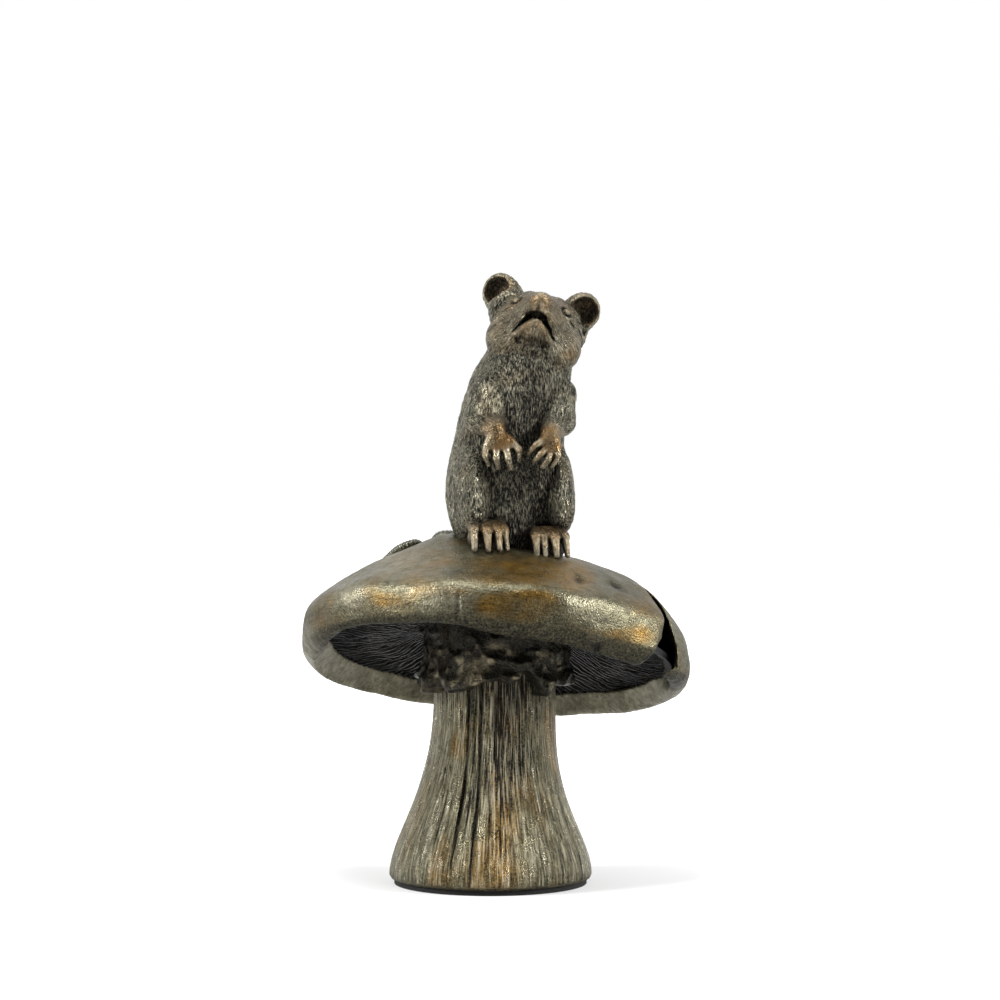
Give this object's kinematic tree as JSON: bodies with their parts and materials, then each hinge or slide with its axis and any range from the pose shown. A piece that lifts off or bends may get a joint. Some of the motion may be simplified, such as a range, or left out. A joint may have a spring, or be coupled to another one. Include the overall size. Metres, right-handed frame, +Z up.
{
  "type": "mouse figurine",
  "caption": "Small cast bronze figurine of a mouse sitting up on the tilted cap of a mushroom with gills, a torn veil and a flared felted foot.",
  "frame": {"origin": "centre of the underside of the felt pad, on the surface it stands on", "axes": "+Z up, the mouse faces -Y, its left as the viewer sees it lies towards -X"},
  "size_m": [0.0824, 0.08, 0.1288],
  "materials": {
    "patinated_bronze": "dark brown patina with rubbed golden edges",
    "dark_bronze": "near black patina",
    "steel": "plain turned steel",
    "board": "plain fibre board",
    "felt": "black felt"
  },
  "bodies": {
    "root": {"stem_casting": "patinated_bronze", "cap_shell": "patinated_bronze", "mouse_torso": "patinated_bronze", "mouse_head": "patinated_bronze", "ear_left": "patinated_bronze", "ear_right": "patinated_bronze", "foreleg_left": "patinated_bronze", "foreleg_right": "patinated_bronze", "haunch_left": "patinated_bronze", "haunch_right": "patinated_bronze", "hind_foot_left": "patinated_bronze", "hind_foot_right": "patinated_bronze", "tail": "patinated_bronze", "torn_veil": "patinated_bronze", "gill_plate": "dark_bronze", "tie_stud": "steel", "stud_washer": "steel", "stud_nut": "steel", "cap_key_pin": "steel", "foot_pin_left": "steel", "foot_pin_right": "steel", "base_disc": "board", "felt_pad": "felt"}
  },
  "joints": []
}
